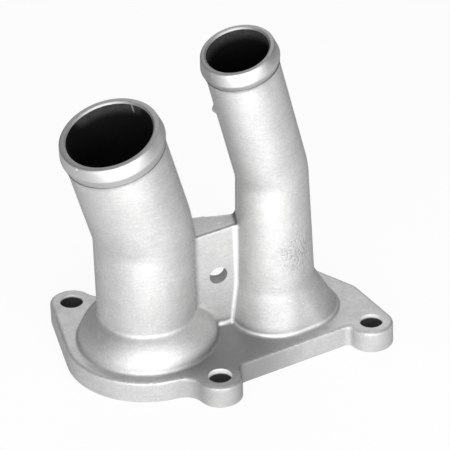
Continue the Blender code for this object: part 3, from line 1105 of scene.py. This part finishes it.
edge_start = Vector((LARGE_PORT.x + LARGE["radius"], slope_start.y, slope_start.z))
edge_start -= WEB_FRONT[0] * Vector((0, 1, math.tan(WEB_TOP_SLOPE)))
edge_end = Vector((SMALL_PORT.x - SMALL["radius"], slope_start.y, slope_start.z))
edge_end -= WEB_FRONT[1] * Vector((0, 1, math.tan(WEB_TOP_SLOPE)))
edge_middle = (edge_start + edge_end) / 2
# Painted shade: a thin dark line along the web's front top edge.
edge_shade = sheet.beside(edge_middle, (edge_end - edge_start).normalized(), 0.0003, 0.0008)
edge_shade = edge_shade * sheet.near(edge_middle, 0.0078, 0.0088)
metal = sheet.blend(0.9 * edge_shade, metal, grey(0.15))
print("middle of the front edge in mm:", [round(1000 * c, 1) for c in edge_middle])

# %% [markdown]
# The shader gets it all. The tint of its edges is black, because blasted metal doesn't flash
# at its outline as polished metal does.

# %% Finish the blasted skin
dents = sheet.bump(grain + 0.6 * coarse - 1.5 * pits, 0.00006)
roughness = 0.58 + 0.10 * coarse - 0.04 * patches
sheet.finish(metal, roughness, dents, metallic=1.0, tint=grey(0.0))

# %% [markdown]
# ### The machined faces
#
# They are a little smoother, and noise stands for the marks of the tool. Painted shade greys the
# slope behind the bead's crown, which faces down, with a dark line of painted shade at both its
# edges, and the face of the mouth is duller. All of these are placed by their distance from the
# mouth.

# %% Where on the pipe
LINE_WIDTH = 0.00045


def by_pipe(sheet, large, small):
    """One value on the large pipe's half of the part, and another on the small pipe's half."""
    is_large = sheet.along((1, 0, 0)) < (LARGE_PORT.x + SMALL_PORT.x) / 2
    return small + is_large * (large - small)


def below_mouth(sheet):
    """Distance below the plane of the mouth, of the large pipe or of the small one."""
    large = sheet.along(-leaning(LARGE), mouths["large"])
    small = sheet.along(-leaning(SMALL), mouths["small"])
    return by_pipe(sheet, large, small)


def line_at(sheet, distance, where):
    """1 on a thin line at one distance, and 0 beside it."""
    off = (distance - where).absolute()
    return sheet.ramp(off, 0.3 * LINE_WIDTH, LINE_WIDTH, 1.0, 0.0)


# %% Machined faces
NICK_PLACE = (-0.05337, -0.01577, 0.09323)

sheet = Sheet(MATERIALS["machined"])
marks = sheet.noise(1300, 2.0, 0.7)
down = below_mouth(sheet)
on_pipes = sheet.ramp(sheet.along(UP), 0.060, 0.062)
bead_foot = by_pipe(sheet, LARGE["bead"], SMALL["bead"])
# the crown ends at the same distance from the mouth on both pipes
crown_edge = LARGE["bead"] - LARGE["rise"]
# Painted shade on the slope behind the crown and, below, dark lines of painted shade at its two
# edges.
crown_slope_shade = on_pipes * sheet.ramp(down, crown_edge - 0.0004, crown_edge + 0.0008)
shade_lines = line_at(sheet, down, crown_edge + 0.0001).most(line_at(sheet, down, bead_foot))
face = on_pipes * sheet.ramp(down, 0.00005, 0.00025, 1.0, 0.0)
nick = sheet.near(NICK_PLACE, 0.0005, 0.0009)
metal = sheet.blend(marks, grey(0.48), grey(0.60, 0.004))
metal = sheet.blend(crown_slope_shade, metal, grey(0.58))
metal = sheet.blend(0.3 * on_pipes * shade_lines, metal, grey(0.25))
metal = sheet.blend(0.8 * face, metal, grey(0.40))
metal = sheet.blend(nick, metal, grey(0.95))
roughness = 0.42 + 0.14 * marks + 0.1 * face
sheet.finish(metal, roughness, sheet.bump(marks, 0.00004), metallic=1.0, tint=grey(0.4))

# %% [markdown]
# ### The cored inside
#
# Inside, the skin is rough and dull, and painted shade makes it darker with depth. The depth is
# the distance below the mouth's plane, or above the gasket face, whichever is less. The back of
# the mouth, where the light reaches in, is painted lightest, so all the rest counts as deeper,
# except near the gasket face. A scratch runs down from the rim of the large mouth.

# %% Cored inside
BACKWARDS = (0.2345, 0.9721, 0)
SCRATCH_START = (-0.02895, 0.00498, 0.10191)
SCRATCH_MIDDLE = (-0.02865, 0.0048, 0.1015)
SCRATCH_WAY = Vector((0.00137, 0.00085, -0.00563)).normalized()


def painted_depth_shade(sheet, depth, start, end, light, dim, black, marks=0.0):
    """A rough skin with painted shade, which goes from light to black between two depths."""
    skin = sheet.noise(700, 3.0, 0.6)
    dark = sheet.ramp(depth + 0.5 * (end - start) * (skin - 0.5), start, end)
    colour = sheet.blend(marks, sheet.blend(skin, dim, light), grey(0.5))
    colour = sheet.blend(dark, colour, black)
    sheet.finish(colour, 0.7 + 0.2 * skin, sheet.bump(skin, 0.0002), metallic=0.6)


sheet = Sheet(MATERIALS["cored"])
height = sheet.along(UP)
lit_back_wall = sheet.ramp(sheet.along(BACKWARDS, mouths["large"]), 0.0075, 0.0135)
underneath = sheet.ramp(height, 0.02, 0.03, 1.0, 0.0)
# Painted light and shade: depth darkens the colour, and the lit back of the mouth is painted
# lighter.
depth = below_mouth(sheet).least(height) + 0.006 * (1.0 - lit_back_wall.most(underneath))
scratch = sheet.beside(SCRATCH_START, SCRATCH_WAY, 0.0002, 0.0004)
scratch = scratch * sheet.near(SCRATCH_MIDDLE, 0.0020, 0.0030)
black = grey(0.002)
painted_depth_shade(sheet, depth, 0.002, 0.0065, grey(0.12), black, black, 0.8 * scratch)

# %% [markdown]
# ### The drilled holes
#
# The walls of the bolt holes are painted bright for two millimetres, where light falls in, and
# then fall into painted shade, a little sooner in the left and the right one. The hole in the web
# is far above them, and its wall is an even grey of painted shade.

# %% Drilled holes
sheet = Sheet(MATERIALS["drilled"])
height = sheet.along(UP)
# Painted light and shade: the top of each bolt hole's wall is painted bright and the rest dark,
# and the web's hole a darker grey.
depth = height.least(FLANGE_THICKNESS - height)
for name, sooner in (("left", 0.0010), ("right", 0.0005)):
    depth = depth + sooner * sheet.near(BOLTS[name], 0.009, 0.010)
in_web = sheet.ramp(height, 0.015, 0.020)
light = sheet.blend(in_web, grey(0.97), grey(0.46))
dim = sheet.blend(in_web, grey(0.80), grey(0.24))
painted_depth_shade(sheet, depth, 0.0017, 0.0024, light, dim, grey(0.05))

# %% [markdown]
# ## Studio
#
# The floor is white paper. To the camera and to the metal's reflections it mostly shines with a
# strength of 1, so that it is white in the picture, and the rest of it is lit paper, which
# keeps the soft shadow at the foot of the casting.

# %% Floor
PAPER_GLOW = 0.92

clear_selection()
bpy.ops.mesh.primitive_plane_add(size=4, location=(0, 0, 0))
floor = bpy.context.object
floor.name = "floor"
floor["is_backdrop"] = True
paper = bpy.data.materials.new("paper")
paper.use_nodes = True
floor.data.materials.append(paper)
sheet = Sheet(paper)
sheet.shader.inputs["Base Color"].default_value = grey(0.85)
sheet.shader.inputs["Roughness"].default_value = 0.9
path = sheet.node("ShaderNodeLightPath")
seen = Value(sheet, path.outputs["Is Camera Ray"]) + Value(sheet, path.outputs["Is Glossy Ray"])
seen = seen + Value(sheet, path.outputs["Is Transmission Ray"])
glow = sheet.node("ShaderNodeEmission", None, {"Color": grey(1), "Strength": 1.0})
mixed = sheet.node(
    "ShaderNodeMixShader", None,
    {0: PAPER_GLOW * seen, 1: sheet.shader.outputs[0], 2: glow.outputs[0]},
)
output = next(node for node in sheet.tree.nodes if node.type == "OUTPUT_MATERIAL")
sheet.feed(output.inputs["Surface"], mixed.outputs[0])
print("floor:", len(sheet.tree.nodes), "nodes")

# %% [markdown]
# The room gives a little even light, and large soft boxes stand round the table. Three stand
# low in front, below the camera, so that the pipes are bright along their middle and fall off
# to their sides. One hangs high in front, for the flange and the dome, and one stands behind,
# for all that faces up. Small lamps would leave hard sparks on bare metal. A panel the size of
# a hand lies on the table in front, out of the picture, and lights the upright walls, which
# mirror the table and not the room.

# %% Room and soft boxes
ROOM_LIGHT = 0.2
AIM = Vector((0, 0, 0.06))
PANEL_HEIGHT = 0.003

world = bpy.data.worlds.new("studio")
bpy.context.scene.world = world
world.use_nodes = True
world.node_tree.nodes["Background"].inputs["Color"].default_value = grey(1)
world.node_tree.nodes["Background"].inputs["Strength"].default_value = ROOM_LIGHT


def soft_box(name, azimuth, elevation, distance, size, watts):
    """A square area lamp that looks at the casting's middle from a direction."""
    clear_selection()
    az, el = math.radians(azimuth), math.radians(elevation)
    way = Vector((math.cos(el) * math.cos(az), math.cos(el) * math.sin(az), math.sin(el)))
    bpy.ops.object.light_add(type="AREA", location=AIM + distance * way)
    lamp = bpy.context.object
    lamp.name = name
    lamp.data.size = size
    lamp.data.energy = watts
    lamp.rotation_euler = way.to_track_quat("Z", "Y").to_euler()
    return lamp


soft_box("front_box", -97, 5, 0.85, 0.8, 5.2)
soft_box("left_box", -125, 8, 0.9, 0.7, 5.8)
soft_box("right_box", -68, 8, 0.9, 0.7, 3.9)
soft_box("high_box", -97, 62, 1.0, 0.6, 2.8)
soft_box("back_box", 76, 36, 1.2, 1.0, 5.2)
panel = soft_box("table_panel", -100, 0, 0.18, 0.17, 0.18)
panel.location.z = PANEL_HEIGHT
panel.rotation_euler = (math.pi, 0, 0)

# %% [markdown]
# ## Camera
#
# The camera stands more than a metre away and has a long lens, as for catalogue pictures, so
# that upright lines stay nearly parallel. Its place, its turn and its lens were fitted until
# the part lay where it does in the photograph.

# %% Camera as in the photo
CAMERA_PLACE = (-0.25528, -1.06453, 0.76598)
CAMERA_RIGHT = Vector((0.96670, -0.25402, -0.03095)).normalized()
CAMERA_FORWARD = Vector((0.1962, 0.8135, -0.5474)).normalized()
SENSOR_WIDTH = 36
FOCAL_LENGTH = 294.55

camera_data = bpy.data.cameras.new("camera")
camera = bpy.data.objects.new("camera", camera_data)
bpy.context.collection.objects.link(camera)
camera_up = CAMERA_RIGHT.cross(CAMERA_FORWARD).normalized()
turn = Matrix((CAMERA_RIGHT, camera_up, -CAMERA_FORWARD)).transposed()
camera.matrix_world = Matrix.Translation(CAMERA_PLACE) @ turn.to_4x4()
camera_data.sensor_width = SENSOR_WIDTH
camera_data.lens = FOCAL_LENGTH
camera_data.clip_start = 0.01
bpy.context.scene.camera = camera
bpy.context.scene.view_settings.view_transform = "Standard"
print("camera at", [round(c, 3) for c in camera.matrix_world.translation])

# %% Sizes and the end
low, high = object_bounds()
